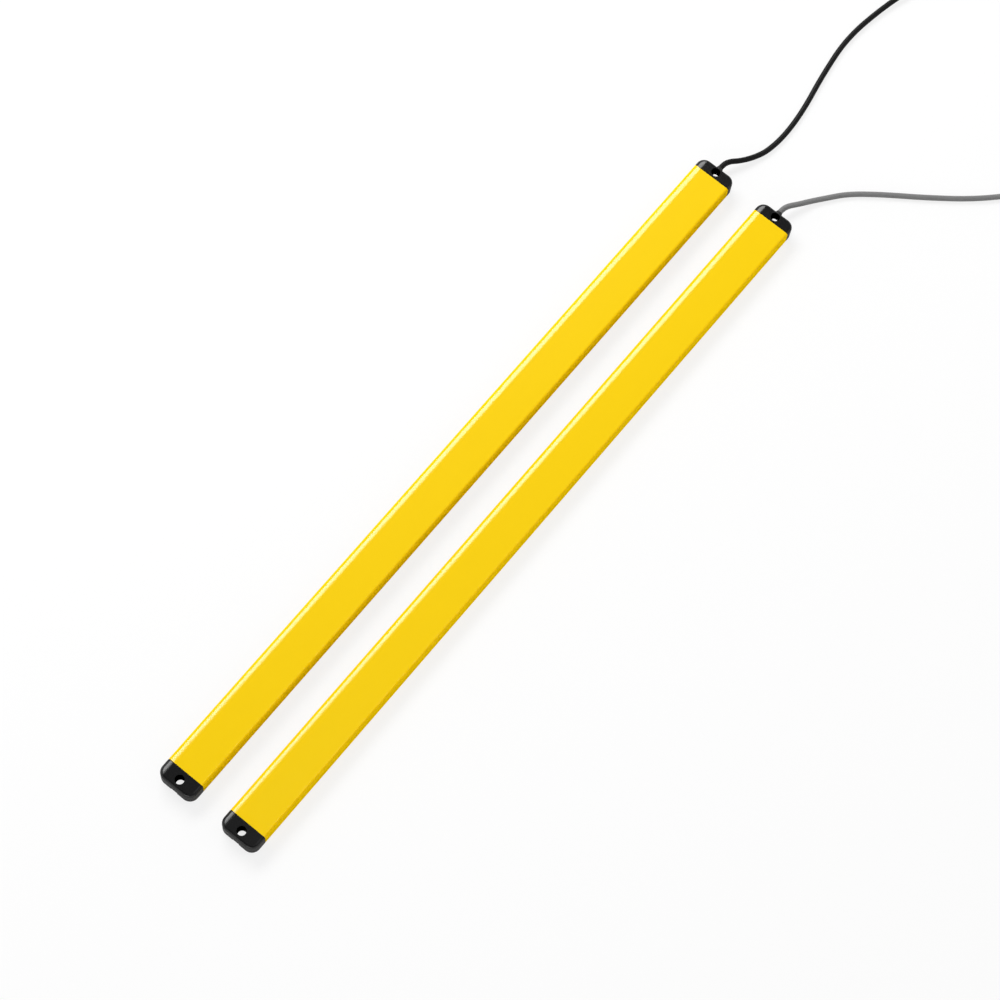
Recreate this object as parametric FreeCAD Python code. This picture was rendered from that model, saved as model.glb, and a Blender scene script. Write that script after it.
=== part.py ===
"""Slim safety light curtain: an emitter bar and a receiver bar, lying flat side by side.

Units are millimetres. X runs across the bars, +Y along them towards the cable ends, +Z up.
The origin is at the bottom centre of the pair of bars, cables left out.
Each bar is an aluminium extrusion with a window slot in its -X side. Optics and boards slide
into it from the end, and a moulded cap with a tongue closes each end.
"""
import FreeCAD, Part
import math
import os

# Driving dimensions of a bar
bar_width = 32.0
bar_thickness = 15.0
bar_gap = 25.0
housing_length = 603.0
edge_radius = 2.2
wall = 1.4

# End caps
foot_cap_length = 13.2
cable_cap_length = 9.4
cap_corner_radius = 7.0
foot_hole_offset = 6.3
cable_hole_offset = 4.7
mounting_hole_diameter = 7.0
relief_width = 6.0
relief_height = 4.0
tongue_length = 8.0
tongue_chamfer = 0.6
gasket_thickness = 0.5
gasket_inset = 0.4

# Window slot in the -X side
window_opening = 8.0
window_thickness = 1.5
window_edge = 1.0
outer_lip = 0.8
inner_lip = 0.8
seal_thickness = 0.8

# Optics behind the window
beam_pitch = 20.0
lens_diameter = 7.2
lens_rise = 1.1
lens_plate_thickness = 1.2
lens_plate_height = 10.4
carrier_depth = 6.0
carrier_mouth = 7.0
carrier_throat = 4.4
diode_length = 3.2
diode_height = 2.8
diode_depth = 1.6
diode_board_thickness = 1.2
diode_board_height = 11.0

# Status lights next to the cable end
status_length = 14.0
status_count = 3
status_pitch = 4.0
status_rod_diameter = 2.6
status_rod_length = 1.0
status_diode_size = 1.6
status_diode_depth = 0.8

# Ribs and board slots inside the extrusion
rib_thickness = 1.0
rib_height = 1.2
hanger_gap = 1.2
ledge_thickness = 0.8
ledge_depth = 1.4
main_board_level = 9.2
main_board_thickness = 1.6

# Parts on the main board
driver_spacing = 90.0
driver_length = 10.0
driver_width = 6.0
driver_height = 1.6
processor_size = 7.0
processor_height = 1.2
capacitor_count = 3
capacitor_diameter = 5.0
capacitor_height = 4.6
terminal_length = 9.0
terminal_width = 7.0
terminal_height = 5.0
part_spacing = 6.0
ribbon_thickness = 0.4
ribbon_width = 12.0
ribbon_drop = 1.2
ribbon_distance = 40.0

# Screws that hold the caps, from below
screw_diameter = 2.5
screw_head_diameter = 4.7
screw_length = 6.0
screw_inset = 4.0
screw_socket = 1.5
screw_socket_depth = 0.6

# Cable, its bush and its plug
cable_diameter = 4.3
cable_exit_x = -1.0
bush_root_diameter = 6.4
bush_tip_diameter = 4.9
bush_collar = 0.8
bush_length = 3.5
bush_seat_depth = 0.5
plug_diameter = 10.0
plug_tail_length = 12.0
plug_tail_diameter = 5.2
plug_neck_diameter = 7.4
plug_grip_length = 12.0
plug_edge = 0.8
flute_count = 8
flute_diameter = 2.2
flute_depth = 0.5
shell_diameter = 7.8
shell_wall = 0.5
shell_length = 9.0
snap_groove_width = 1.0
snap_groove_depth = 0.25
snap_groove_distance = 4.0
insert_thickness = 3.0
pin_count = 4
pin_circle = 3.6
pin_diameter = 1.0
pin_length = 4.5

# Clearances
slide_clearance = 0.15
window_clearance = 0.1
slot_clearance = 0.1
ribbon_clearance = 0.8
end_clearance = 1.0
screw_clearance = 0.05
screw_hole_clearance = 0.15
seat_clearance = 0.05

# Share of the shorter run that each bend of a cable takes
bend_share = 0.45

# Cable routes: x from the bar's centre line, y from the end of the cable cap, z from the floor.
emitter_route = [
    (cable_exit_x, bush_length, bar_thickness / 2),
    (cable_exit_x, 8.0, bar_thickness / 2),
    (0.6, 13.5, 7.0),
    (4.6, 21.5, 5.2),
    (10.5, 31.0, 3.2),
    (15.5, 42.0, 2.25),
    (19.5, 60.0, 2.2),
    (18.5, 86.0, 2.2),
    (10.0, 120.0, 2.2),
    (5.0, 158.0, 2.2),
    (10.0, 196.0, 2.6),
    (19.0, 229.0, plug_diameter / 2),
    (24.8, 260.0, plug_diameter / 2),
]
receiver_route = [
    (cable_exit_x, bush_length, bar_thickness / 2),
    (cable_exit_x, 8.0, bar_thickness / 2),
    (0.4, 13.5, 7.0),
    (4.2, 21.0, 5.2),
    (9.6, 29.0, 3.2),
    (18.0, 39.5, 2.25),
    (29.0, 52.5, 2.2),
    (47.5, 69.5, 2.2),
    (76.0, 89.0, 2.2),
    (106.0, 113.0, 2.2),
    (132.0, 141.0, 2.6),
    (150.0, 170.0, plug_diameter / 2),
    (164.5, 201.0, plug_diameter / 2),
]

# Places across a bar, from the window side inwards
side_x = -bar_width / 2
window_x = side_x + outer_lip
seal_x = window_x + window_thickness
lip_x = seal_x + seal_thickness
lens_x = lip_x + inner_lip
carrier_x = lens_x + lens_plate_thickness
diode_board_x = carrier_x + carrier_depth
rib_x = diode_board_x + diode_board_thickness
hanger_x = rib_x + rib_thickness + hanger_gap
board_x = hanger_x + rib_thickness
ribbon_x = board_x + ledge_depth + ribbon_clearance
parts_x = ribbon_x + ribbon_thickness + ribbon_clearance + terminal_width / 2
cavity_x = bar_width / 2 - wall

# Places along a bar
body_length = foot_cap_length + housing_length + cable_cap_length + 2 * gasket_thickness
foot_joint_y = foot_cap_length - body_length / 2
housing_y = foot_joint_y + gasket_thickness
housing_end_y = housing_y + housing_length
cable_joint_y = housing_end_y + gasket_thickness
cap_end_y = cable_joint_y + cable_cap_length
inner_y = housing_y + tongue_length + end_clearance
inner_end_y = housing_end_y - tongue_length - end_clearance
status_y = inner_end_y - status_length
optics_end_y = status_y - slide_clearance
beam_count = int((optics_end_y - inner_y) / beam_pitch)
first_beam_y = (inner_y + optics_end_y - (beam_count - 1) * beam_pitch) / 2

# Heights in a bar
middle_z = bar_thickness / 2
ceiling_z = bar_thickness - wall
slot_z = main_board_level - ledge_thickness
slot_top_z = main_board_level + main_board_thickness + slot_clearance
bar_pitch = bar_width + bar_gap


def vector(x, y, z):
    return FreeCAD.Vector(x, y, z)


def section_rectangle(x0, z0, x1, z1):
    """Flat rectangle across the bar, in the plane y = 0."""
    corners = [vector(x0, 0, z0), vector(x1, 0, z0), vector(x1, 0, z1), vector(x0, 0, z1)]
    return Part.Face(Part.makePolygon(corners + corners[:1]))


def rounded_section(inset):
    """The bar's outline with its four long edges rounded, drawn inwards by inset."""
    x = bar_width / 2 - inset
    low = inset
    high = bar_thickness - inset
    radius = edge_radius - inset
    cut = radius * (1 - math.sqrt(0.5))
    corners = [(-x, low, 1, 1), (x, low, -1, 1), (x, high, -1, -1), (-x, high, 1, -1)]
    edges = []
    ends = []
    for number, (cx, cz, sx, sz) in enumerate(corners):
        along = vector(cx + sx * radius, 0, cz)
        upright = vector(cx, 0, cz + sz * radius)
        middle = vector(cx + sx * cut, 0, cz + sz * cut)
        start, end = (upright, along) if number % 2 == 0 else (along, upright)
        edges.append(Part.Arc(start, middle, end).toShape())
        ends.append((start, end))
    for number in range(len(ends)):
        following = ends[(number + 1) % len(ends)]
        edges.append(Part.makeLine(ends[number][1], following[0]))
    return Part.Face(Part.Wire(Part.__sortEdges__(edges)))


def run_of(face, start, end):
    """Extrudes a section face along the bar from start to end."""
    solid = face.extrude(vector(0, end - start, 0))
    solid.translate(vector(0, start, 0))
    return solid


def block(x0, x1, y0, y1, z0, z1):
    return Part.makeBox(x1 - x0, y1 - y0, z1 - z0, vector(x0, y0, z0))


def turned(profile, centre, axis):
    """Solid of revolution. The profile's points are (radius, distance along the axis)."""
    points = [vector(radius, 0, distance) for radius, distance in profile]
    face = Part.Face(Part.makePolygon(points + points[:1]))
    solid = face.revolve(vector(0, 0, 0), vector(0, 0, 1), 360)
    solid.Placement = FreeCAD.Placement(centre, FreeCAD.Rotation(vector(0, 0, 1), axis))
    return solid


def join(shapes):
    return shapes[0].fuse(shapes[1:]).removeSplitter()


# ---------------------------------------------------------------- housing

def inner_ribs():
    """Sections of the ribs inside the extrusion: two stops for the optics and the board slots."""
    stop_end = rib_x + rib_thickness
    ledge_end = board_x + ledge_depth
    ledge_start = cavity_x - ledge_depth
    slot_top = slot_top_z + ledge_thickness
    return [
        section_rectangle(rib_x, wall, stop_end, wall + rib_height),
        section_rectangle(rib_x, ceiling_z - rib_height, stop_end, ceiling_z),
        section_rectangle(hanger_x, slot_z, board_x, ceiling_z),
        section_rectangle(board_x, slot_z, ledge_end, main_board_level),
        section_rectangle(board_x, slot_top_z, ledge_end, slot_top),
        section_rectangle(ledge_start, slot_z, cavity_x, main_board_level),
        section_rectangle(ledge_start, slot_top_z, cavity_x, slot_top),
    ]


def screw_places():
    """Centres of the four cap screws under a bar, on the centre lines of the tongues."""
    front_x = (lens_x + rib_x) / 2
    rear_x = (rib_x + rib_thickness + cavity_x) / 2
    return [
        vector(x, y, 0)
        for y in (housing_y + screw_inset, housing_end_y - screw_inset)
        for x in (front_x, rear_x)
    ]


def housing():
    half_opening = window_opening / 2
    half_groove = half_opening + window_edge + window_clearance
    opening = section_rectangle(side_x, middle_z - half_opening, lens_x, middle_z + half_opening)
    groove = section_rectangle(window_x, middle_z - half_groove, lip_x, middle_z + half_groove)
    cavity = section_rectangle(lens_x, wall, cavity_x, ceiling_z).cut(inner_ribs())
    section = rounded_section(0).cut([opening, groove, cavity])
    solid = run_of(section, housing_y, housing_end_y)
    head = screw_head_diameter / 2 + screw_clearance
    shank = screw_diameter / 2 + screw_hole_clearance
    sink = [(0, 0), (head, 0), (shank, head - shank), (shank, wall), (0, wall)]
    sinks = [turned(sink, place, vector(0, 0, 1)) for place in screw_places()]
    return solid.cut(sinks)


# ---------------------------------------------------------------- window and optics

def window():
    half = window_opening / 2 + window_edge
    face = section_rectangle(window_x, middle_z - half, seal_x, middle_z + half)
    return run_of(face, housing_y, housing_end_y)


def window_seals():
    """Two rubber strips in the groove, between the window and the inner lips."""
    inner = window_opening / 2
    outer = inner + window_edge
    strips = [
        section_rectangle(seal_x, middle_z + inner, lip_x, middle_z + outer),
        section_rectangle(seal_x, middle_z - outer, lip_x, middle_z - inner),
    ]
    return Part.makeCompound([run_of(strip, housing_y, housing_end_y) for strip in strips])


def beam_places():
    return [first_beam_y + number * beam_pitch for number in range(beam_count)]


def lens_strip():
    """Moulded strip of plano-convex lenses that bulge towards the window."""
    half = lens_plate_height / 2
    plate = block(lens_x, carrier_x, inner_y, optics_end_y, middle_z - half, middle_z + half)
    rim = lens_diameter / 2
    radius = (rim ** 2 + lens_rise ** 2) / (2 * lens_rise)
    reach = lens_rise + lens_plate_thickness / 2
    domes = []
    for y in beam_places():
        ball = Part.makeSphere(radius, vector(lens_x - lens_rise + radius, y, middle_z))
        slab = block(lens_x - lens_rise, lens_x - lens_rise + reach, y - rim, y + rim,
                     middle_z - rim, middle_z + rim)
        disc = Part.makeCylinder(rim, reach, vector(lens_x - lens_rise, y, middle_z),
                                 vector(1, 0, 0))
        domes.append(ball.common(slab).common(disc))
    return join([plate] + domes)


def square_wire(x, size):
    """Upright square across the beams, centred on y = 0 at the middle of the bar's height."""
    half = size / 2
    low = middle_z - half
    high = middle_z + half
    corners = [vector(x, -half, low), vector(x, half, low), vector(x, half, high),
               vector(x, -half, high)]
    return Part.makePolygon(corners + corners[:1])


def lens_carrier():
    """Black baffle strip with one tapered square opening for each beam."""
    strip = block(carrier_x, diode_board_x, inner_y, optics_end_y,
                  wall + slide_clearance, ceiling_z - slide_clearance)
    mouth = square_wire(carrier_x, carrier_mouth)
    throat = square_wire(diode_board_x, carrier_throat)
    opening = Part.makeLoft([mouth, throat], True, True)
    return strip.cut([opening.translated(vector(0, y, 0)) for y in beam_places()])


def diode_board():
    half = diode_board_height / 2
    return block(diode_board_x, rib_x, inner_y, inner_end_y, middle_z - half, middle_z + half)


def beam_diodes():
    """One diode package for each beam, on the front of its board."""
    half_length = diode_length / 2
    half_height = diode_height / 2
    return Part.makeCompound([
        block(diode_board_x - diode_depth, diode_board_x, y - half_length, y + half_length,
              middle_z - half_height, middle_z + half_height)
        for y in beam_places()
    ])


def status_places():
    middle = (status_y + inner_end_y) / 2
    first = middle - (status_count - 1) * status_pitch / 2
    return [first + number * status_pitch for number in range(status_count)]


def status_guide():
    """Clear block that carries the status lights to the window, with a rod for each."""
    half = lens_plate_height / 2
    back = diode_board_x - status_diode_depth - slide_clearance
    body = block(lens_x, back, status_y, inner_end_y, middle_z - half, middle_z + half)
    feet = [
        block(back, diode_board_x, y, y + rib_thickness, middle_z - half, middle_z + half)
        for y in (status_y, inner_end_y - rib_thickness)
    ]
    rods = [
        Part.makeCylinder(status_rod_diameter / 2, status_rod_length,
                          vector(lens_x - status_rod_length, y, middle_z), vector(1, 0, 0))
        for y in status_places()
    ]
    return join([body] + feet + rods)


def status_diodes():
    half = status_diode_size / 2
    return Part.makeCompound([
        block(diode_board_x - status_diode_depth, diode_board_x, y - half, y + half,
              middle_z - half, middle_z + half)
        for y in status_places()
    ])


# ---------------------------------------------------------------- main board

def main_board():
    return block(board_x + slide_clearance, cavity_x - slide_clearance, inner_y, inner_end_y,
                 main_board_level, main_board_level + main_board_thickness)


def board_parts():
    """Drivers along the board, a processor, three capacitors and the cable terminals below it."""
    terminal_y = inner_end_y - terminal_length / 2 - part_spacing
    processor_y = terminal_y - terminal_length / 2 - part_spacing - processor_size / 2

    def hung(x_size, y_size, height, y):
        return block(parts_x - x_size / 2, parts_x + x_size / 2, y - y_size / 2, y + y_size / 2,
                     main_board_level - height, main_board_level)

    parts = [
        hung(terminal_width, terminal_length, terminal_height, terminal_y),
        hung(processor_size, processor_size, processor_height, processor_y),
    ]
    capacitor_y = processor_y - processor_size / 2
    for _ in range(capacitor_count):
        capacitor_y -= part_spacing + capacitor_diameter / 2
        parts.append(Part.makeCylinder(
            capacitor_diameter / 2, capacitor_height,
            vector(parts_x, capacitor_y, main_board_level - capacitor_height)))
    driver_y = inner_y + driver_spacing / 2
    while driver_y < capacitor_y - driver_length:
        parts.append(hung(driver_width, driver_length, driver_height, driver_y))
        driver_y += driver_spacing
    return Part.makeCompound(parts)


def board_ribbon():
    """Flat ribbon from the diode board, under the hanger, up to the main board."""
    low = slot_z - ribbon_drop - ribbon_thickness
    outer_x = ribbon_x + ribbon_thickness
    start = inner_y + ribbon_distance
    outline = [
        (rib_x, low), (outer_x, low), (outer_x, main_board_level), (ribbon_x, main_board_level),
        (ribbon_x, low + ribbon_thickness), (rib_x, low + ribbon_thickness),
    ]
    points = [vector(x, 0, z) for x, z in outline]
    face = Part.Face(Part.makePolygon(points + points[:1]))
    return run_of(face, start, start + ribbon_width)


# ---------------------------------------------------------------- end caps

def cap_shell(length):
    """Cap body from its joint at y = 0, with rounded plan corners and a rounded rim."""
    half = bar_width / 2
    radius = min(cap_corner_radius, length - seat_clearance, half - seat_clearance)
    cut = radius * (1 - math.sqrt(0.5))
    outline = Part.Wire([
        Part.makeLine(vector(half, 0, 0), vector(half, length - radius, 0)),
        Part.Arc(vector(half, length - radius, 0), vector(half - cut, length - cut, 0),
                 vector(half - radius, length, 0)).toShape(),
        Part.makeLine(vector(half - radius, length, 0), vector(radius - half, length, 0)),
        Part.Arc(vector(radius - half, length, 0), vector(cut - half, length - cut, 0),
                 vector(-half, length - radius, 0)).toShape(),
        Part.makeLine(vector(-half, length - radius, 0), vector(-half, 0, 0)),
        Part.makeLine(vector(-half, 0, 0), vector(half, 0, 0)),
    ])
    solid = Part.Face(outline).extrude(vector(0, 0, bar_thickness))
    rim = [
        edge for edge in solid.Edges
        if edge.BoundBox.ZLength < seat_clearance and edge.CenterOfMass.y > seat_clearance
    ]
    return solid.makeFillet(edge_radius, rim)


def tongue(x0, x1, z0, z1):
    """Prong that slides into the extrusion, with a bevelled tip."""
    tip = -(tongue_length + gasket_thickness)
    prong = block(x0, x1, tip, 0, z0, z1)
    edges = [edge for edge in prong.Edges if abs(edge.CenterOfMass.y - tip) < seat_clearance
             and edge.BoundBox.YLength < seat_clearance]
    return prong.makeChamfer(tongue_chamfer, edges)


def cap(length, hole_offset):
    """Cap with its two tongues, the mounting hole and the relief slot under it."""
    low = wall + slide_clearance
    front = tongue(lens_x + slide_clearance, rib_x - slide_clearance, low,
                   ceiling_z - slide_clearance)
    rear = tongue(rib_x + rib_thickness + slide_clearance, cavity_x - slide_clearance, low,
                  slot_z - slide_clearance)
    hole = Part.makeCylinder(mounting_hole_diameter / 2, bar_thickness, vector(0, hole_offset, 0))
    relief = block(-relief_width / 2, relief_width / 2, hole_offset, length, 0, relief_height)
    return join([cap_shell(length), front, rear]).cut([hole, relief])


def pilot_holes():
    """Holes in the tongues for the screws, at their places on the bar."""
    depth = screw_length + screw_clearance
    radius = screw_diameter / 2 + screw_clearance
    return [Part.makeCylinder(radius, depth, place) for place in screw_places()]


def foot_cap():
    solid = cap(foot_cap_length, foot_hole_offset).mirror(vector(0, 0, 0), vector(0, 1, 0))
    solid.translate(vector(0, foot_joint_y, 0))
    return solid.cut(pilot_holes())


def cable_cap():
    solid = cap(cable_cap_length, cable_hole_offset)
    solid.translate(vector(0, cable_joint_y, 0))
    seat = Part.makeCylinder(bush_root_diameter / 2 + seat_clearance, bush_seat_depth,
                             vector(cable_exit_x, cap_end_y - bush_seat_depth, middle_z),
                             vector(0, 1, 0))
    return solid.cut(pilot_holes() + [seat])


def gasket(start):
    """Flat rubber ring between a cap and the end of the extrusion."""
    inside = section_rectangle(lens_x, wall, cavity_x, ceiling_z)
    ring = rounded_section(gasket_inset).cut(inside)
    return run_of(ring, start, start + gasket_thickness)


def cap_screw(place):
    """Countersunk screw with a hexagon socket, its head just inside the underside."""
    head = screw_head_diameter / 2
    shank = screw_diameter / 2
    cone = head - shank
    profile = [(0, 0), (head, 0), (shank, cone), (shank, screw_length), (0, screw_length)]
    solid = turned(profile, vector(0, 0, 0), vector(0, 0, 1))
    corner = screw_socket / math.sqrt(3)
    points = [
        vector(corner * math.cos(step * math.pi / 3), corner * math.sin(step * math.pi / 3), 0)
        for step in range(6)
    ]
    socket = Part.Face(Part.makePolygon(points + points[:1])).extrude(
        vector(0, 0, screw_socket_depth))
    solid = solid.cut(socket)
    solid.translate(place + vector(0, 0, screw_clearance))
    return solid


def cap_screws(places):
    return Part.makeCompound([cap_screw(place) for place in places])


# ---------------------------------------------------------------- cable

def cable_bush():
    """Tapered rubber bush, seated in the end wall of the cable cap."""
    root = bush_root_diameter / 2
    tip = bush_tip_diameter / 2
    profile = [(0, -bush_seat_depth), (root, -bush_seat_depth), (root, bush_collar),
               (tip, bush_length), (0, bush_length)]
    return turned(profile, vector(cable_exit_x, cap_end_y, middle_z), vector(0, 1, 0))


def route_points(route):
    return [vector(x, cap_end_y + y, z) for x, y, z in route]


def cable_path(points):
    """Straight runs joined by tangent arcs. Returns the wire and the radius of each arc."""
    edges = []
    radii = []
    start = points[0]
    for before, corner, after in zip(points, points[1:], points[2:]):
        back = (before - corner).normalize()
        onward = (after - corner).normalize()
        half_turn = (math.pi - back.getAngle(onward)) / 2
        trim = bend_share * min((before - corner).Length, (after - corner).Length)
        radius = trim / math.tan(half_turn)
        enter = corner + back * trim
        leave = corner + onward * trim
        inwards = (back + onward).normalize()
        middle = corner + inwards * (radius / math.cos(half_turn) - radius)
        edges.append(Part.LineSegment(start, enter).toShape())
        edges.append(Part.Arc(enter, middle, leave).toShape())
        radii.append(radius)
        start = leave
    edges.append(Part.LineSegment(start, points[-1]).toShape())
    return Part.Wire(edges), radii


def cable(name, points):
    path, radii = cable_path(points)
    ring = Part.Wire(Part.Circle(points[0], points[1] - points[0], cable_diameter / 2).toShape())
    solid = path.makePipeShell([ring], True, False)
    expected = path.Length * math.pi * cable_diameter ** 2 / 4
    print(name, "length", round(path.Length, 1), "volume ratio", round(solid.Volume / expected, 5),
          "radii", [round(radius) for radius in radii])
    return solid


def on_plug(shape, points):
    """Moves a shape made along +Y from the origin to the end of the cable."""
    heading = points[-1] - points[-2]
    shape.Placement = FreeCAD.Placement(
        points[-1], FreeCAD.Rotation(vector(0, 1, 0), heading)).multiply(shape.Placement)
    return shape


def plug_body():
    """Moulded plug body: a tapered tail, then a fluted grip."""
    radius = plug_diameter / 2
    grip_end = plug_tail_length + plug_grip_length
    profile = [
        (0, 0), (plug_tail_diameter / 2, 0),
        (plug_neck_diameter / 2, plug_tail_length - plug_edge),
        (radius - plug_edge, plug_tail_length), (radius, plug_tail_length + plug_edge),
        (radius, grip_end - plug_edge), (radius - plug_edge, grip_end), (0, grip_end),
    ]
    solid = turned(profile, vector(0, 0, 0), vector(0, 1, 0))
    reach = radius + flute_diameter / 2 - flute_depth
    flutes = []
    for number in range(flute_count):
        angle = (number + 0.5) * 2 * math.pi / flute_count
        base = vector(reach * math.cos(angle), plug_tail_length, reach * math.sin(angle))
        flutes.append(Part.makeCylinder(flute_diameter / 2, plug_grip_length, base,
                                        vector(0, 1, 0)))
    return solid.cut(flutes)


def plug_shell():
    """Metal sleeve round the pins, with a snap groove."""
    base = plug_tail_length + plug_grip_length
    outer = shell_diameter / 2
    groove = base + snap_groove_distance
    profile = [
        (outer - shell_wall, base), (outer, base), (outer, groove),
        (outer - snap_groove_depth, groove),
        (outer - snap_groove_depth, groove + snap_groove_width),
        (outer, groove + snap_groove_width), (outer, base + shell_length),
        (outer - shell_wall, base + shell_length),
    ]
    return turned(profile, vector(0, 0, 0), vector(0, 1, 0))


def plug_insert():
    base = plug_tail_length + plug_grip_length
    radius = shell_diameter / 2 - shell_wall - seat_clearance
    return Part.makeCylinder(radius, insert_thickness, vector(0, base, 0), vector(0, 1, 0))


def plug_pins():
    base = plug_tail_length + plug_grip_length + insert_thickness
    radius = pin_diameter / 2
    tip = radius / 2
    profile = [(0, 0), (radius, 0), (radius, pin_length - tip), (tip, pin_length), (0, pin_length)]
    pins = []
    for number in range(pin_count):
        angle = (number + 0.5) * 2 * math.pi / pin_count
        place = vector(pin_circle / 2 * math.cos(angle), base, pin_circle / 2 * math.sin(angle))
        pins.append(turned(profile, place, vector(0, 1, 0)))
    return Part.makeCompound(pins)


# ---------------------------------------------------------------- the pair

def bar_pieces():
    """Pieces that both bars have, on the bar's own centre line."""
    foot_screws = screw_places()[:2]
    cable_screws = screw_places()[2:]
    return {
        "housing": housing(),
        "window": window(),
        "window_seals": window_seals(),
        "lens_strip": lens_strip(),
        "lens_carrier": lens_carrier(),
        "diode_board": diode_board(),
        "status_guide": status_guide(),
        "status_diodes": status_diodes(),
        "main_board": main_board(),
        "board_parts": board_parts(),
        "board_ribbon": board_ribbon(),
        "foot_cap": foot_cap(),
        "foot_gasket": gasket(foot_joint_y),
        "foot_screws": cap_screws(foot_screws),
        "cable_cap": cable_cap(),
        "cable_gasket": gasket(housing_end_y),
        "cable_cap_screws": cap_screws(cable_screws),
        "cable_bush": cable_bush(),
    }


def cable_pieces(bar, route):
    points = route_points(route)
    return {
        "cable": cable(bar + " cable", points),
        "plug_body": on_plug(plug_body(), points),
        "plug_shell": on_plug(plug_shell(), points),
        "plug_insert": on_plug(plug_insert(), points),
        "plug_pins": on_plug(plug_pins(), points),
    }


def write(node, shape, across):
    moved = shape.copy()
    moved.translate(vector(across, 0, 0))
    moved.exportStep("parts/" + node + ".step")


def main():
    os.makedirs("parts", exist_ok=True)
    shared = bar_pieces()
    bars = [
        ("emitter", -bar_pitch / 2, emitter_route, "light_diodes"),
        ("receiver", bar_pitch / 2, receiver_route, "photodiodes"),
    ]
    for bar, across, route, diodes in bars:
        pieces = dict(shared)
        pieces[diodes] = beam_diodes()
        pieces.update(cable_pieces(bar, route))
        for name, shape in pieces.items():
            write(bar + "_" + name, shape, across)
    print("beams", beam_count, "body length", round(body_length, 2),
          "hole spacing", round(cable_joint_y + cable_hole_offset - foot_joint_y
                                + foot_hole_offset, 2))


main()
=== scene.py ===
import math

import bpy
from bpy.props import FloatProperty, FloatVectorProperty, IntProperty, PointerProperty
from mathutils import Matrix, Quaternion, Vector


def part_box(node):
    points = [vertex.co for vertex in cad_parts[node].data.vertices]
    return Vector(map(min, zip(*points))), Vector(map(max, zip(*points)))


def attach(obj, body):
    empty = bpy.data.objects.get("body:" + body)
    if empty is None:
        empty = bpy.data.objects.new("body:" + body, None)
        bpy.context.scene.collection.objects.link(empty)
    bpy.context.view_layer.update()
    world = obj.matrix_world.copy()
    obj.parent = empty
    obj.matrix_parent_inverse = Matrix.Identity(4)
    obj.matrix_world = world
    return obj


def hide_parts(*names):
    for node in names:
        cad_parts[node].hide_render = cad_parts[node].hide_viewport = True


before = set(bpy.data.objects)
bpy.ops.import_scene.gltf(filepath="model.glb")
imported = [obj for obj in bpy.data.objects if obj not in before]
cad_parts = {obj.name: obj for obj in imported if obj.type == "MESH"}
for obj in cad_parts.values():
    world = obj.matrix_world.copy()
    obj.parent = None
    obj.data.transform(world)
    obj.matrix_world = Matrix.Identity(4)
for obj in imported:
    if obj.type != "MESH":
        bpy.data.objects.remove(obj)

bl_info = {
    "name": "Safety light curtain",
    "version": (1, 0, 0),
    "blender": (4, 5, 0),
    "location": "3D View > Sidebar > Light curtain",
    "description": "Finishes for a slim safety light curtain: bars, windows, caps and cables",
    "category": "Object",
}

# Sizes are in metres, apart from the routes of the cables, which are in millimetres.
BARS = ("emitter", "receiver")
MM = 0.001

# Housings and caps
EDGE_RADIUS = 0.0022
HOLE_RADIUS = 0.0035
HOLE_INSETS = {"foot_cap": 0.0069, "cable_cap": 0.0047}  # from a cap's end to its hole's axis
BORE_MARGIN = 1.02      # how much wider than its hole the painted shade and dull coat of a bore reach
ROLL_WIDTH = 0.006      # reach of the rolled look to each side of a bar's window edge
ROLL_FALL = 0.0028

# Lenses and plugs
LENS_RISE = 0.0011      # height of a lens over its strip
FIRST_RING = 0.0016     # from the end of the cable to the first ring on the plug's tail
TAIL_RING_RADIUS = 0.00285
TAIL_RING_WIRE = 0.00038
TAIL_RING_GROWTH = 0.068  # how much wider each next ring is, as a share of the first

# Stage
FLOOR_WHITE = 0.94
SEEN_GLOW = 0.8         # share of the floor's own white where it is looked at
MIRRORED_GLOW = 0.2     # the same in what reflects it or lets it through
LAMP_AIM = (0.0, 0.05, 0.0)
LAMPS = (
    # name, place, width and height, watts
    ("Key softbox", (-1.45, 0.7, 1.75), (1.8, 0.9), 49.0),
    ("Edge strip", (0.8, 0.75, 2.3), (0.5, 2.6), 8.0),
    ("Front softbox", (0.5, -2.4, 1.3), (1.6, 0.8), 11.0),
)
SKY_STOPS = (
    # how far up from the horizon, brightness
    (0.0, 1.0), (0.15, 1.0), (0.5, 0.5), (0.8, 0.1), (1.0, 0.06),
)


def bar_section(bar):
    """Middle of a bar in X, half its width and half its height."""
    low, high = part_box(bar + "_housing")
    return (low[0] + high[0]) / 2, (high[0] - low[0]) / 2, (high[2] - low[2]) / 2


def cable_end(bar):
    """Where the cable end of a bar lies in Y."""
    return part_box(bar + "_cable_cap")[1][1]


def hole_places(bar):
    """Axes of a bar's two mounting holes, seen from above."""
    centre_x = bar_section(bar)[0]
    foot_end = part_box(bar + "_foot_cap")[0][1]
    return ((centre_x, foot_end + HOLE_INSETS["foot_cap"], 0.0),
            (centre_x, cable_end(bar) - HOLE_INSETS["cable_cap"], 0.0))


# ---------------------------------------------------------------- settings

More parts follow.
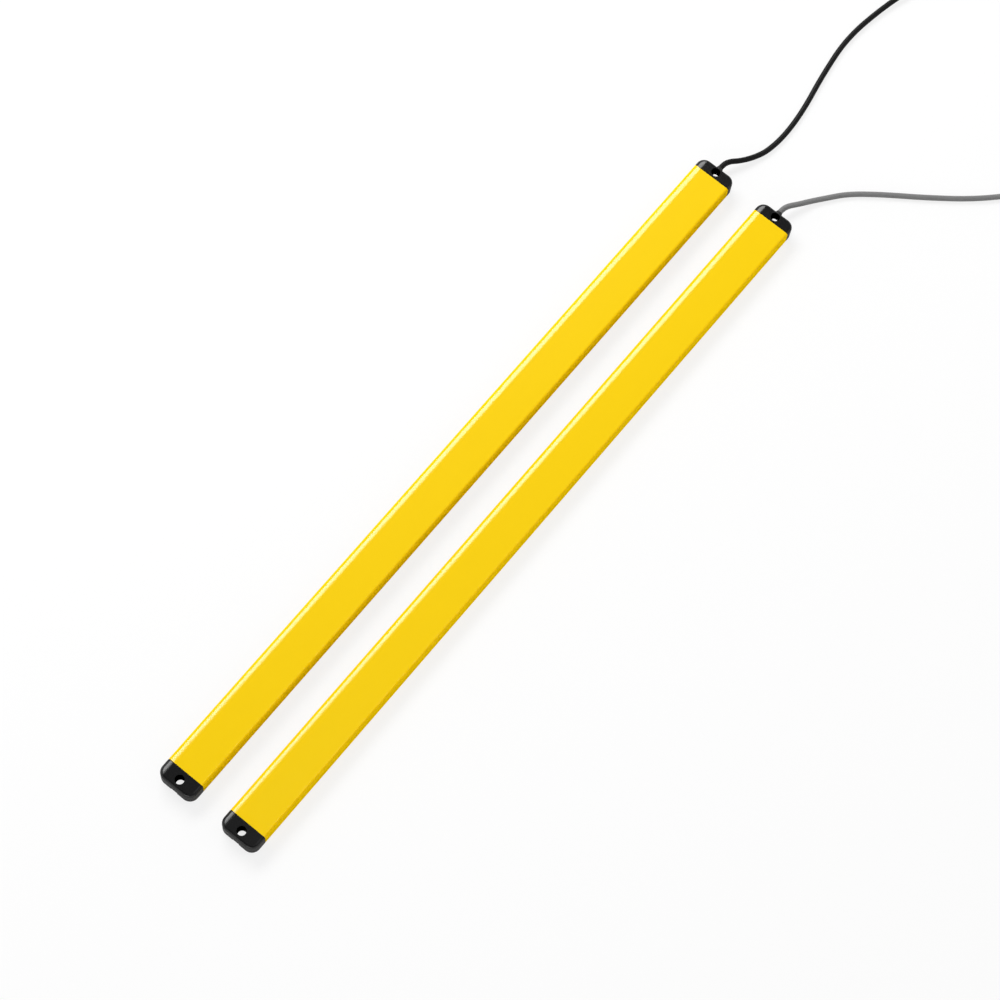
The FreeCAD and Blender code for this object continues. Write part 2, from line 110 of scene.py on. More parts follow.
class CurtainFinish(bpy.types.PropertyGroup):
    """Colours and finishes of the bars."""

    coat_colour: FloatVectorProperty(
        name="Coat", description="Colour of the powder coat", subtype="COLOR", size=3,
        min=0.0, max=1.0, default=(0.93, 0.62, 0.001))
    coat_roughness: FloatProperty(
        name="Coat roughness", description="Roughness of the powder coat", min=0.0, max=1.0,
        subtype="FACTOR", default=0.2)
    # Painted shade: a warmer gold laid along the rounded long edges of the bars.
    painted_edge_shade_colour: FloatVectorProperty(
        name="Painted edge shade colour", description="Warmer gold painted along the coat's rounded long edges as shade",
        subtype="COLOR", size=3, min=0.0, max=1.0, default=(0.96, 0.6, 0.0015))
    cap_colour: FloatVectorProperty(
        name="Caps", description="Colour of the moulded caps", subtype="COLOR", size=3,
        min=0.0, max=1.0, default=(0.006, 0.006, 0.0063))
    window_colour: FloatVectorProperty(
        name="Window", description="Tint of the window strips", subtype="COLOR", size=3,
        min=0.0, max=1.0, default=(0.6, 0.09, 0.08))


class CurtainOptics(bpy.types.PropertyGroup):
    """Sizes of the moulded rims round the lenses."""

    beams: IntProperty(
        name="Beams", description="Lenses in each bar", min=2, max=200, default=28)
    pitch: FloatProperty(
        name="Pitch", description="Distance from one lens to the next", unit="LENGTH",
        min=0.005, max=0.1, default=0.02)
    rim_radius: FloatProperty(
        name="Rim radius", description="Radius of the rim round a lens", unit="LENGTH",
        min=0.001, max=0.02, default=0.00372)
    rim_wire: FloatProperty(
        name="Rim thickness", description="Half the thickness of a rim", unit="LENGTH",
        min=0.00005, max=0.002, default=0.00022)


class CurtainCables(bpy.types.PropertyGroup):
    """Sizes and colours of the cables."""

    diameter: FloatProperty(
        name="Diameter", description="Outer diameter of a cable", unit="LENGTH",
        min=0.001, max=0.02, default=0.0043)
    length: FloatProperty(
        name="Length", description="Length of a cable from its bush to its plug", unit="LENGTH",
        min=0.03, max=10.0, default=0.264)
    emitter_colour: FloatVectorProperty(
        name="Emitter cable", description="Jacket of the emitter's cable", subtype="COLOR",
        size=3, min=0.0, max=1.0, default=(0.006, 0.006, 0.006))
    receiver_colour: FloatVectorProperty(
        name="Receiver cable", description="Jacket of the receiver's cable", subtype="COLOR",
        size=3, min=0.0, max=1.0, default=(0.2, 0.2, 0.2))
    tail_rings: IntProperty(
        name="Tail rings", description="Rings moulded round the tail of a plug", min=1, max=20,
        default=5)
    ring_spacing: FloatProperty(
        name="Ring spacing", description="Distance from one tail ring to the next",
        unit="LENGTH", min=0.0005, max=0.01, default=0.0021)


class CurtainStage(bpy.types.PropertyGroup):
    """Floor, lamps and camera."""

    focal_length: FloatProperty(
        name="Focal length", description="Camera's focal length in millimetres",
        min=20.0, max=400.0, default=108.0)
    camera_place: FloatVectorProperty(
        name="Camera", description="Place of the camera", subtype="TRANSLATION", size=3,
        unit="LENGTH", default=(0.3783, -0.6264, 2.0682))
    aim: FloatVectorProperty(
        name="Aim", description="Point that the camera looks at", subtype="TRANSLATION", size=3,
        unit="LENGTH", default=(0.0096, 0.0034, 0.0))
    roll: FloatProperty(
        name="Roll", description="Turn of the camera about its line of sight", subtype="ANGLE",
        default=math.radians(9.3))
    floor_size: FloatProperty(
        name="Floor", description="Side of the floor", unit="LENGTH", min=2.0, max=60.0,
        default=30.0)


# ---------------------------------------------------------------- shader parts

def feed(tree, socket, source):
    """Links an input socket to an output, or sets it to a plain value."""
    if isinstance(source, bpy.types.NodeSocket):
        tree.links.new(source, socket)
    else:
        socket.default_value = source


def add_node(tree, kind, settings=None, **inputs):
    """Adds a node with its settings, and feeds its inputs, named with underscores for spaces."""
    node = tree.nodes.new(kind)
    for name, value in (settings or {}).items():
        setattr(node, name, value)
    for name, source in inputs.items():
        feed(tree, node.inputs[name.replace("_", " ")], source)
    return node


def maths(tree, operation, *sources, clamp=False):
    """Output of a maths node on the given sockets and numbers."""
    node = add_node(tree, "ShaderNodeMath", {"operation": operation, "use_clamp": clamp})
    for socket, source in zip(node.inputs, sources):
        feed(tree, socket, source)
    return node.outputs[0]


def vector_maths(tree, operation, *sources):
    """Outputs of a vector maths node on the given sockets and vectors."""
    node = add_node(tree, "ShaderNodeVectorMath", {"operation": operation})
    for socket, source in zip(node.inputs, sources):
        feed(tree, socket, source)
    return node.outputs


def scaled_colour(tree, colour, gain):
    """A colour times a number."""
    scaled = add_node(tree, "ShaderNodeVectorMath", {"operation": "SCALE"}, Vector=colour,
                      Scale=gain)
    return scaled.outputs["Vector"]


def from_to(tree, value, first, last, **limits):
    """A value that runs from 0 to 1, or between other limits, made to run from first to last."""
    ranged = add_node(tree, "ShaderNodeMapRange", Value=value, To_Min=first, To_Max=last,
                      **limits)
    return ranged.outputs["Result"]


def object_place(tree):
    """Object coordinates, which are the frame's own on every piece."""
    return tree.nodes.new("ShaderNodeTexCoord").outputs["Object"]


def noise(tree, place, scale, **inputs):
    """Value of a noise that is about 0.5 on average."""
    return add_node(tree, "ShaderNodeTexNoise", Vector=place, Scale=scale, **inputs).outputs["Fac"]


def group_tree(name, inputs, outputs):
    """Empty shader group, with its own inputs (name, kind, default) and outputs (name, kind)."""
    tree = bpy.data.node_groups.new(name, "ShaderNodeTree")
    for label, kind, value in inputs:
        socket = tree.interface.new_socket(label, in_out="INPUT", socket_type=kind)
        socket.default_value = value
    for label, kind in outputs:
        tree.interface.new_socket(label, in_out="OUTPUT", socket_type=kind)
    given = tree.nodes.new("NodeGroupInput").outputs
    return tree, given, tree.nodes.new("NodeGroupOutput").inputs


def fine_grain_group():
    """Moulded or coated grain: a height, and a value that varies the roughness."""
    tree, given, out = group_tree(
        "Fine grain",
        [("Scale", "NodeSocketFloat", 2000.0), ("Roughness", "NodeSocketFloat", 0.4),
         ("Variation", "NodeSocketFloat", 0.1)],
        [("Height", "NodeSocketFloat"), ("Roughness", "NodeSocketFloat")])
    cloud_scale = 35.0
    place = object_place(tree)
    grain = noise(tree, place, given["Scale"], Detail=3.0, Roughness=0.6)
    spread = maths(tree, "SUBTRACT", noise(tree, place, cloud_scale, Detail=2.0), 0.5)
    feed(tree, out["Height"], grain)
    feed(tree, out["Roughness"],
         maths(tree, "MULTIPLY_ADD", spread, given["Variation"], given["Roughness"]))
    return tree


def tint_group():
    """Faint mottling of a base colour."""
    tree, given, out = group_tree(
        "Mottled tint",
        [("Colour", "NodeSocketColor", (0.5, 0.5, 0.5, 1.0)), ("Scale", "NodeSocketFloat", 60.0),
         ("Amount", "NodeSocketFloat", 0.1)],
        [("Colour", "NodeSocketColor")])
    spread = maths(tree, "SUBTRACT", noise(tree, object_place(tree), given["Scale"], Detail=4.0),
                   0.5)
    gain = maths(tree, "MULTIPLY_ADD", spread, given["Amount"], 1.0)
    feed(tree, out["Colour"], scaled_colour(tree, given["Colour"], gain))
    return tree


def painted_edge_shade_group():
    """Mask for the painted shade on the rounded long edges of a bar, broken up a little along
    them.
    """
    tree, given, out = group_tree(
        "Painted edge shade",
        [("Centre X", "NodeSocketFloat", 0.0), ("Half width", "NodeSocketFloat", 0.016),
         ("Half height", "NodeSocketFloat", 0.0075), ("Radius", "NodeSocketFloat", 0.002),
         ("Steepness", "NodeSocketFloat", 5.0), ("Break up", "NodeSocketFloat", 0.3)],
        [("Mask", "NodeSocketFloat")])

    def nearness(place, middle, half):
        """0 on the flat part of a face and 1 out at its edge."""
        off_centre = maths(tree, "ABSOLUTE", maths(tree, "SUBTRACT", place, middle))
        out_by = maths(tree, "DIVIDE", maths(tree, "SUBTRACT", off_centre, half), given["Radius"])
        return maths(tree, "ADD", out_by, 1.0, clamp=True)

    patch_scale = 90.0
    place = object_place(tree)
    along = add_node(tree, "ShaderNodeSeparateXYZ", Vector=place).outputs
    across = nearness(along["X"], given["Centre X"], given["Half width"])
    upwards = nearness(along["Z"], given["Half height"], given["Half height"])
    band = maths(tree, "MULTIPLY", maths(tree, "MULTIPLY", across, upwards),
                 given["Steepness"], clamp=True)
    patches = noise(tree, place, patch_scale, Detail=1.0)
    broken = maths(tree, "MULTIPLY", patches, given["Break up"])
    feed(tree, out["Mask"],
         maths(tree, "MULTIPLY", band, maths(tree, "SUBTRACT", 1.0, broken)))
    return tree


def bore_group():
    """Mask that is 1 on the wall of a round upright hole."""
    tree, given, out = group_tree(
        "Bore",
        [("Axis", "NodeSocketVector", (0.0, 0.0, 0.0)), ("Radius", "NodeSocketFloat", 0.0035)],
        [("Mask", "NodeSocketFloat")])
    from_above = vector_maths(tree, "MULTIPLY", object_place(tree), (1.0, 1.0, 0.0))["Vector"]
    away = vector_maths(tree, "DISTANCE", from_above, given["Axis"])["Value"]
    feed(tree, out["Mask"], maths(tree, "LESS_THAN", away, given["Radius"]))
    return tree


def placed_group(tree, name, maker, **inputs):
    """Outputs of a placed shader group, which is made the first time that it is asked for."""
    group = bpy.data.node_groups.get(name) or maker()
    return add_node(tree, "ShaderNodeGroup", {"node_tree": group}, **inputs).outputs


# ---------------------------------------------------------------- materials

def new_material(name):
    """New material, its shader and its tree."""
    material = bpy.data.materials.new(name)
    material.use_nodes = True
    return material, material.node_tree.nodes["Principled BSDF"], material.node_tree


def grained(name, colour, roughness, scale=1500.0, depth=0.00002, variation=0.08, mottle=0.06,
            mottle_scale=60.0, **constants):
    """Material with a mottled colour, fine grain and the given constants on its shader."""
    material, shader, tree = new_material(name)
    grain = placed_group(tree, "Fine grain", fine_grain_group, Scale=scale, Roughness=roughness,
                         Variation=variation)
    tint = placed_group(tree, "Mottled tint", tint_group, Colour=(*colour, 1.0),
                        Scale=mottle_scale, Amount=mottle)
    bump = add_node(tree, "ShaderNodeBump", Strength=1.0, Distance=depth, Height=grain["Height"])
    feed(tree, shader.inputs["Roughness"], grain["Roughness"])
    feed(tree, shader.inputs["Base Color"], tint["Colour"])
    feed(tree, shader.inputs["Normal"], bump.outputs["Normal"])
    for socket, value in constants.items():
        shader.inputs[socket.replace("_", " ")].default_value = value
    return material


def roll_edge(material, bar):
    """Rolls the flat faces off towards a bar's window side, under the grain and the coat."""
    tree = material.node_tree
    shader = tree.nodes["Principled BSDF"]
    grain = shader.inputs["Normal"].links[0].from_node
    centre_x, half_width, _ = bar_section(bar)
    edge = centre_x - half_width
    across = add_node(tree, "ShaderNodeSeparateXYZ", Vector=object_place(tree)).outputs["X"]
    height = add_node(tree, "ShaderNodeMapRange", {"interpolation_type": "SMOOTHSTEP"},
                      Value=across, From_Min=edge - ROLL_WIDTH, From_Max=edge + ROLL_WIDTH,
                      To_Min=-ROLL_FALL, To_Max=0.0)
    roll = add_node(tree, "ShaderNodeBump", Strength=1.0, Distance=1.0,
                    Height=height.outputs["Result"]).outputs["Normal"]
    feed(tree, grain.inputs["Normal"], roll)
    feed(tree, shader.inputs["Coat Normal"], roll)


def paint_edge_shade(material, bar, painted_edge_shade_colour, break_up):
    """Paints shade along a bar's rounded long edges in a warmer gold; gives the mask's socket."""
    tree = material.node_tree
    base = tree.nodes["Principled BSDF"].inputs["Base Color"]
    centre_x, half_width, half_height = bar_section(bar)
    painted_edge_shade = placed_group(tree, "Painted edge shade", painted_edge_shade_group, Centre_X=centre_x,
                        Half_width=half_width, Half_height=half_height, Radius=EDGE_RADIUS,
                        Break_up=break_up)["Mask"]
    mixed = add_node(tree, "ShaderNodeMix", {"data_type": "RGBA"}, Factor=painted_edge_shade)
    # The node's number, vector and colour sockets share their names.
    plain_input, painted_edge_shade_input, colour_output = mixed.inputs[6], mixed.inputs[7], mixed.outputs[2]
    feed(tree, plain_input, base.links[0].from_socket)
    feed(tree, painted_edge_shade_input, (*painted_edge_shade_colour, 1.0))
    feed(tree, base, colour_output)
    return painted_edge_shade


def coat_facing(material, weight, painted_edge_shade):
    """Lets a coat's gloss fade where it is seen edge on, and along the edges that carry the
    painted shade.
    """
    fade_start, fade_end = 0.35, 0.8
    left_on_painted_edge_shade = 0.1
    tree = material.node_tree
    facing = add_node(tree, "ShaderNodeLayerWeight", Blend=0.5).outputs["Facing"]
    fade = from_to(tree, facing, weight, 0.0, From_Min=fade_start, From_Max=fade_end)
    left = from_to(tree, painted_edge_shade, 1.0, left_on_painted_edge_shade)
    feed(tree, tree.nodes["Principled BSDF"].inputs["Coat Weight"],
         maths(tree, "MULTIPLY", fade, left))


def shade_and_dull_bores(material, bar, coat_weight, shade):
    """Paints shade on the walls of a bar's mounting holes, darker than its caps, and takes the
    coat's gloss off them.
    """
    tree = material.node_tree
    shader = tree.nodes["Principled BSDF"]
    base = shader.inputs["Base Color"]
    masks = [placed_group(tree, "Bore", bore_group, Axis=axis,
                          Radius=HOLE_RADIUS * BORE_MARGIN)["Mask"] for axis in hole_places(bar)]
    inside = maths(tree, "MAXIMUM", *masks)
    feed(tree, base, scaled_colour(tree, base.links[0].from_socket,
                                   from_to(tree, inside, 1.0, shade)))
    feed(tree, shader.inputs["Coat Weight"], from_to(tree, inside, coat_weight, 0.0))


def mix_surface(tree, share, first, second):
    """Makes a material's surface a mix of two shaders."""
    mixed = tree.nodes.new("ShaderNodeMixShader")
    for socket, source in zip(mixed.inputs, (share, first, second)):
        feed(tree, socket, source)
    feed(tree, tree.nodes["Material Output"].inputs["Surface"], mixed.outputs["Shader"])


def let_lamps_in(material, colour):
    """Lets lamps shine through a clear material, tinted, on to what lies behind it."""
    tree = material.node_tree
    rays = tree.nodes.new("ShaderNodeLightPath").outputs
    passing = add_node(tree, "ShaderNodeBsdfTransparent", Color=(*colour, 1.0))
    mix_surface(tree, rays["Is Shadow Ray"], tree.nodes["Principled BSDF"].outputs["BSDF"],
                passing.outputs["BSDF"])


def dress(node, material):
    """Gives a node of the frame its finish."""
    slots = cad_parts[node].data.materials
    for index in range(len(slots)):
        slots[index] = material


def dress_both(names, material):
    """Gives the like nodes of both bars their finish."""
    for bar in BARS:
        for name in names:
            dress(bar + "_" + name, material)


# ---------------------------------------------------------------- repeated pieces

def ring_row_tree():
    """Geometry tree: a row of rings that may grow from one to the next."""
    tree = bpy.data.node_groups.new("Ring row", "GeometryNodeTree")
    for label, kind in (("Count", "NodeSocketInt"), ("First", "NodeSocketVector"),
                        ("Step", "NodeSocketVector"), ("Facing", "NodeSocketVector"),
                        ("Radius", "NodeSocketFloat"), ("Wire", "NodeSocketFloat"),
                        ("Growth", "NodeSocketFloat"), ("Finish", "NodeSocketMaterial")):
        tree.interface.new_socket(label, in_out="INPUT", socket_type=kind)
    tree.interface.new_socket("Geometry", in_out="OUTPUT", socket_type="NodeSocketGeometry")
    given = tree.nodes.new("NodeGroupInput").outputs
    row = add_node(tree, "GeometryNodeMeshLine", Count=given["Count"],
                   Start_Location=given["First"], Offset=given["Step"])
    ring = add_node(tree, "GeometryNodeCurvePrimitiveCircle", Resolution=40,
                    Radius=given["Radius"])
    wire = add_node(tree, "GeometryNodeCurvePrimitiveCircle", Resolution=10,
                    Radius=given["Wire"])
    tube = add_node(tree, "GeometryNodeCurveToMesh", Curve=ring.outputs["Curve"],
                    Profile_Curve=wire.outputs["Curve"])
    smooth = add_node(tree, "GeometryNodeSetShadeSmooth", Geometry=tube.outputs["Mesh"])
    turn = add_node(tree, "FunctionNodeAlignRotationToVector", {"axis": "Z"},
                    Vector=given["Facing"])
    number = tree.nodes.new("GeometryNodeInputIndex")
    growth = maths(tree, "MULTIPLY_ADD", number.outputs["Index"], given["Growth"], 1.0)
    copies = add_node(tree, "GeometryNodeInstanceOnPoints", Points=row.outputs["Mesh"],
                      Instance=smooth.outputs["Geometry"], Rotation=turn.outputs["Rotation"],
                      Scale=growth)
    real = add_node(tree, "GeometryNodeRealizeInstances", Geometry=copies.outputs["Instances"])
    finish = add_node(tree, "GeometryNodeSetMaterial", Geometry=real.outputs["Geometry"],
                      Material=given["Finish"])
    add_node(tree, "NodeGroupOutput", Geometry=finish.outputs["Geometry"])
    return tree


def grown_piece(name, tree, inputs):
    """Plain mesh piece that a geometry tree makes from its named inputs."""
    start = bpy.data.objects.new(name + "_start", bpy.data.meshes.new(name + "_start"))
    bpy.context.collection.objects.link(start)
    maker = start.modifiers.new("Maker", "NODES")
    maker.node_group = tree
    for item in tree.interface.items_tree:
        if item.in_out == "INPUT":
            maker[item.identifier] = inputs[item.name]
    graph = bpy.context.evaluated_depsgraph_get()
    mesh = bpy.data.meshes.new_from_object(start.evaluated_get(graph), depsgraph=graph)
    start.modifiers.remove(maker)
    bpy.data.objects.remove(start)
    if not mesh.polygons:
        raise RuntimeError(name + " came out empty")
    mesh.name = name
    piece = bpy.data.objects.new(name, mesh)
    bpy.context.collection.objects.link(piece)
    return piece


def ring_row(name, slot, **inputs):
    """Row of rings as one piece that rides on the bars."""
    tree = bpy.data.node_groups.get("Ring row") or ring_row_tree()
    piece = grown_piece(name, tree, inputs)
    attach(piece, "root")
    return piece


# ---------------------------------------------------------------- pieces

class CURTAIN_OT_housings(bpy.types.Operator):
    """Gives the two extrusions their powder coat"""

    bl_idname = "curtain.housings"
    bl_label = "Housings"

    def execute(self, context):
        finish = context.scene.curtain_finish
        for bar in BARS:
            coat = grained("Yellow powder coat " + bar, finish.coat_colour, 0.5, scale=900.0,
                           depth=0.000002, mottle=0.02, Specular_IOR_Level=0.0, Coat_IOR=2.5,
                           Coat_Roughness=finish.coat_roughness)
            roll_edge(coat, bar)
            # Painted shade along the rounded long edges, where the coat's gloss is also cut.
            painted_edge_shade = paint_edge_shade(coat, bar, finish.painted_edge_shade_colour, break_up=0.08)
            coat_facing(coat, 0.22, painted_edge_shade)
            dress(bar + "_housing", coat)
        return {"FINISHED"}


class CURTAIN_OT_windows(bpy.types.Operator):
    """Finishes the windows and the optics behind them"""

    bl_idname = "curtain.windows"
    bl_label = "Windows and optics"

    def execute(self, context):
        finish = context.scene.curtain_finish
        optics = context.scene.curtain_optics
        clear_tint = (0.9, 0.91, 0.91)
        tinted = grained("Tinted acrylic", finish.window_colour, 0.04, variation=0.02,
                         depth=0.000001, mottle=0.03, Transmission_Weight=1.0, IOR=1.49)
        clear = grained("Clear acrylic", clear_tint, 0.04, variation=0.02,
                        depth=0.000001, mottle=0.02, Transmission_Weight=0.9, IOR=1.49)
        let_lamps_in(tinted, finish.window_colour)
        let_lamps_in(clear, clear_tint)
        baffle = grained("Black baffle plastic", (0.014, 0.014, 0.014), 0.6)
        white = grained("White diode body", (0.75, 0.75, 0.7), 0.4)
        dark = grained("Dark diode body", (0.015, 0.015, 0.018), 0.35)
        dress_both(["window"], tinted)
        dress_both(["lens_strip", "status_guide"], clear)
        dress_both(["lens_carrier"], baffle)
        dress_both(["status_diodes"], white)
        dress("emitter_light_diodes", white)
        dress("receiver_photodiodes", dark)

        row = (optics.beams - 1) * optics.pitch
        for bar in BARS:
            low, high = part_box(bar + "_lens_strip")
            ring_row(bar + "_lens_rims", "clear_acrylic", Count=optics.beams,
                     First=(low[0] + LENS_RISE, (low[1] + high[1] - row) / 2,
                            (low[2] + high[2]) / 2),
                     Step=(0.0, optics.pitch, 0.0), Facing=(1.0, 0.0, 0.0),
                     Radius=optics.rim_radius, Wire=optics.rim_wire, Growth=0.0, Finish=clear)
        return {"FINISHED"}


class CURTAIN_OT_boards(bpy.types.Operator):
    """Finishes the circuit boards and what is on them"""

    bl_idname = "curtain.boards"
    bl_label = "Boards"

    def execute(self, context):
        mask = grained("Green solder mask", (0.008, 0.1, 0.04), 0.3, mottle=0.4,
                       mottle_scale=400.0)
        chip = grained("Chip plastic", (0.016, 0.016, 0.018), 0.5)
        film = grained("Ribbon film", (0.5, 0.2, 0.03), 0.3)
        dress_both(["diode_board", "main_board"], mask)
        dress_both(["board_parts"], chip)
        dress_both(["board_ribbon"], film)
        return {"FINISHED"}


class CURTAIN_OT_caps(bpy.types.Operator):
    """Finishes the end caps, and the gaskets, seals and screws"""

    bl_idname = "curtain.caps"
    bl_label = "End caps"

    def execute(self, context):
        finish = context.scene.curtain_finish
        for bar in BARS:
            moulded = grained("Black moulded cap " + bar, finish.cap_colour, 0.5, scale=1800.0,
                              depth=0.000008, mottle=0.1, Specular_IOR_Level=0.0, Coat_IOR=2.0,
                              Coat_Roughness=0.22)
            roll_edge(moulded, bar)
            # Painted shade in the mounting holes: their walls are darkened to a quarter and lose
            # the coat's gloss.
            shade_and_dull_bores(moulded, bar, coat_weight=0.3, shade=0.25)
            dress(bar + "_foot_cap", moulded)
            dress(bar + "_cable_cap", moulded)
        rubber = grained("Black rubber", (0.01, 0.01, 0.01), 0.7, scale=2500.0)
        zinc = grained("Zinc plated steel", (0.62, 0.62, 0.6), 0.3, mottle=0.2,
                       mottle_scale=300.0, Metallic=1.0)
        dress_both(["foot_gasket", "cable_gasket", "window_seals"], rubber)
        dress_both(["foot_screws", "cable_cap_screws"], zinc)
        return {"FINISHED"}


def cable_route(bar):
    """Centreline of a bar's cable.

    The points are in millimetres: x from the bar's centre line, y from its cable end, z.
    """
    exit_x = -1.0
    bush = 3.5
    middle = 7.5
    plug = 5.0
    routes = {
        "emitter": [
            (exit_x, bush, middle), (exit_x, 8.0, middle), (1.1, 13.1, 7.0), (6.7, 19.8, 5.2),
            (12.3, 29.7, 3.2), (16.8, 41.3, 2.25), (18.8, 60.9, 2.2), (16.7, 86.8, 2.2),
            (10.0, 120.0, 2.2), (5.0, 158.0, 2.2), (10.0, 196.0, 2.6), (19.0, 229.0, plug),
            (24.8, 260.0, plug),
        ],
        "receiver": [
            (exit_x, bush, middle), (exit_x, 8.0, middle), (1.1, 13.1, 7.0), (5.6, 19.9, 5.2),
            (10.4, 28.3, 3.2), (18.2, 39.2, 2.25), (28.8, 52.8, 2.2), (48.5, 69.1, 2.2),
            (76.0, 89.0, 2.2), (106.0, 113.0, 2.2), (132.0, 141.0, 2.6), (150.0, 170.0, plug),
            (164.5, 201.0, plug),
        ],
    }
    centre_x = bar_section(bar)[0]
    end_y = cable_end(bar)
    return [Vector((centre_x + x * MM, end_y + y * MM, z * MM)) for x, y, z in routes[bar]]


def cable_curve(name, points, radius):
    """Round cable on a smooth line through its route."""
    curve = bpy.data.curves.new(name, "CURVE")
    curve.dimensions = "3D"
    spline = curve.splines.new("NURBS")
    spline.points.add(len(points) - 1)
    for point, place in zip(spline.points, points):
        point.co = (*place, 1.0)
    spline.order_u = 3
    spline.use_endpoint_u = True
    spline.resolution_u = 12
    curve.bevel_depth = radius
    curve.bevel_resolution = 8
    curve.use_fill_caps = True
    piece = bpy.data.objects.new(name, curve)
    bpy.context.collection.objects.link(piece)
    return piece


class CURTAIN_OT_cables(bpy.types.Operator):
    """Lays the two cables and finishes their bushes and plugs"""

    bl_idname = "curtain.cables"
    bl_label = "Cables"

    def execute(self, context):
        cables = context.scene.curtain_cables
        colours = {"emitter": cables.emitter_colour, "receiver": cables.receiver_colour}
        moulded = grained("Black plug plastic", (0.011, 0.011, 0.012), 0.5, scale=2000.0)
        finishes = {
            "cable_bush": grained("Bush rubber", (0.01, 0.01, 0.01), 0.6, scale=2500.0),
            "plug_body": moulded,
            "plug_shell": grained("Nickel plated brass", (0.66, 0.64, 0.6), 0.22, Metallic=1.0),
            "plug_insert": grained("Pin insert", (0.015, 0.015, 0.015), 0.45),
            "plug_pins": grained("Gilt pin", (0.85, 0.6, 0.22), 0.25, Metallic=1.0),
        }
        for bar in BARS:
            points = cable_route(bar)
            piece = cable_curve(bar + "_cable_run", points, cables.diameter / 2)
            jacket = grained(bar.capitalize() + " cable jacket", colours[bar], 0.45,
                             scale=1200.0, depth=0.00003, mottle=0.1, Specular_IOR_Level=0.15)
            piece.data.materials.append(jacket)
            along = (points[-1] - points[-2]).normalized()
            rings = ring_row(bar + "_tail_rings", "black_plug_plastic", Count=cables.tail_rings,
                             First=points[-1] + along * FIRST_RING,
                             Step=along * cables.ring_spacing, Facing=along,
                             Radius=TAIL_RING_RADIUS, Wire=TAIL_RING_WIRE,
                             Growth=TAIL_RING_GROWTH, Finish=moulded)
            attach(piece, "root")
            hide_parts(bar + "_cable")
        for name, material in finishes.items():
            dress_both([name], material)
        return {"FINISHED"}


# ---------------------------------------------------------------- stage

def soft_lamp(name, place, size, watts):
    """Rectangular lamp that points at the middle of the bars."""
    light = bpy.data.lights.new(name, "AREA")
    light.shape = "RECTANGLE"
    light.size, light.size_y = size
    light.energy = watts
    lamp = bpy.data.objects.new(name, light)
    lamp.location = place
    lamp.rotation_euler = (Vector(LAMP_AIM) - Vector(place)).to_track_quat("-Z", "Y").to_euler()
    bpy.context.collection.objects.link(lamp)


def floor_material():
    """White floor. Where it is looked at, most of its white is its own, so shadows stay faint."""
    material, shader, tree = new_material("White floor")
    shader.inputs["Base Color"].default_value = (FLOOR_WHITE, FLOOR_WHITE, FLOOR_WHITE, 1.0)
    shader.inputs["Roughness"].default_value = 0.9
    shader.inputs["Specular IOR Level"].default_value = 0.0
    rays = tree.nodes.new("ShaderNodeLightPath").outputs
    mirrored = maths(tree, "MAXIMUM", rays["Is Glossy Ray"], rays["Is Transmission Ray"])
    share = maths(tree, "MULTIPLY_ADD", rays["Is Camera Ray"], SEEN_GLOW,
                  maths(tree, "MULTIPLY", mirrored, MIRRORED_GLOW))
    glow = add_node(tree, "ShaderNodeEmission", Color=(1.0, 1.0, 1.0, 1.0), Strength=1.0)
    mix_surface(tree, share, shader.outputs["BSDF"], glow.outputs["Emission"])
    return material


def studio_world():
    """Soft room light: white at the horizon and dim overhead."""
    world = bpy.data.worlds.new("Studio")
    world.use_nodes = True
    tree = world.node_tree
    direction = tree.nodes.new("ShaderNodeTexCoord").outputs["Generated"]
    height = add_node(tree, "ShaderNodeSeparateXYZ", Vector=direction).outputs["Z"]
    ramp = add_node(tree, "ShaderNodeValToRGB", Fac=height)
    stops = ramp.color_ramp.elements
    while len(stops) < len(SKY_STOPS):
        stops.new(0.5)
    for stop, (where, level) in zip(stops, SKY_STOPS):
        stop.position = where
        stop.color = (level, level, level, 1.0)
    feed(tree, tree.nodes["Background"].inputs["Color"], ramp.outputs["Color"])
    return world


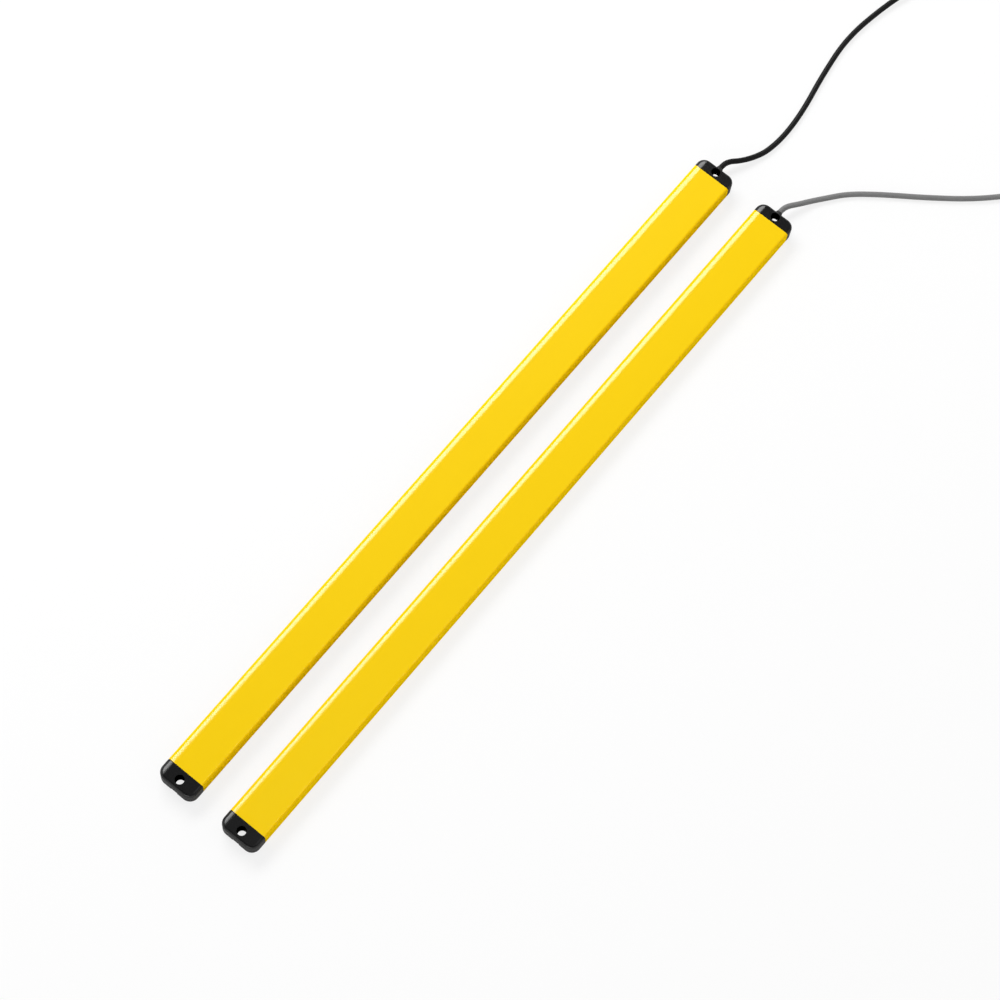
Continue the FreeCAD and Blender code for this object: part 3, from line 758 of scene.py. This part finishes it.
class CURTAIN_OT_stage(bpy.types.Operator):
    """Makes the floor, the lamps and the camera"""

    bl_idname = "curtain.stage"
    bl_label = "Stage"

    def execute(self, context):
        settings = context.scene.curtain_stage
        half = settings.floor_size / 2
        mesh = bpy.data.meshes.new("floor")
        mesh.from_pydata([(-half, -half, 0), (half, -half, 0), (half, half, 0), (-half, half, 0)],
                         [], [(0, 1, 2, 3)])
        mesh.materials.append(floor_material())
        floor = bpy.data.objects.new("floor", mesh)
        context.collection.objects.link(floor)

        context.scene.world = studio_world()
        for name, place, size, watts in LAMPS:
            soft_lamp(name, place, size, watts)

        camera = bpy.data.cameras.new("Camera")
        camera.lens = settings.focal_length
        camera.sensor_width = 36.0
        camera.clip_end = 100.0
        eye = bpy.data.objects.new("Camera", camera)
        eye.location = settings.camera_place
        sight = Vector(settings.aim) - Vector(settings.camera_place)
        level = sight.to_track_quat("-Z", "Y")
        eye.rotation_euler = (level @ Quaternion((0.0, 0.0, 1.0), settings.roll)).to_euler()
        context.collection.objects.link(eye)
        context.scene.camera = eye
        context.scene.view_settings.view_transform = "Standard"
        return {"FINISHED"}


class CURTAIN_PT_panel(bpy.types.Panel):
    """Lists the pieces of the light curtain"""

    bl_label = "Light curtain"
    bl_idname = "CURTAIN_PT_panel"
    bl_space_type = "VIEW_3D"
    bl_region_type = "UI"
    bl_category = "Light curtain"

    def draw(self, context):
        for operator in OPERATORS:
            self.layout.operator(operator.bl_idname)


GROUPS = {"curtain_finish": CurtainFinish, "curtain_optics": CurtainOptics,
          "curtain_cables": CurtainCables, "curtain_stage": CurtainStage}
OPERATORS = (CURTAIN_OT_housings, CURTAIN_OT_windows, CURTAIN_OT_boards, CURTAIN_OT_caps,
             CURTAIN_OT_cables, CURTAIN_OT_stage)


def register():
    """Registers the settings, the operators and the panel."""
    for group in GROUPS.values():
        bpy.utils.register_class(group)
    for name, group in GROUPS.items():
        setattr(bpy.types.Scene, name, PointerProperty(type=group))
    for operator in OPERATORS:
        bpy.utils.register_class(operator)
    bpy.utils.register_class(CURTAIN_PT_panel)


def unregister():
    """Takes away what register added."""
    bpy.utils.unregister_class(CURTAIN_PT_panel)
    for operator in reversed(OPERATORS):
        bpy.utils.unregister_class(operator)
    for name, group in GROUPS.items():
        delattr(bpy.types.Scene, name)
        bpy.utils.unregister_class(group)


def main():
    """Makes the pieces and the stage."""
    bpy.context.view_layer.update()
    register()
    bpy.ops.curtain.housings()
    bpy.ops.curtain.windows()
    bpy.ops.curtain.boards()
    bpy.ops.curtain.caps()
    bpy.ops.curtain.cables()
    bpy.ops.curtain.stage()


if __name__ == "__main__":
    main()
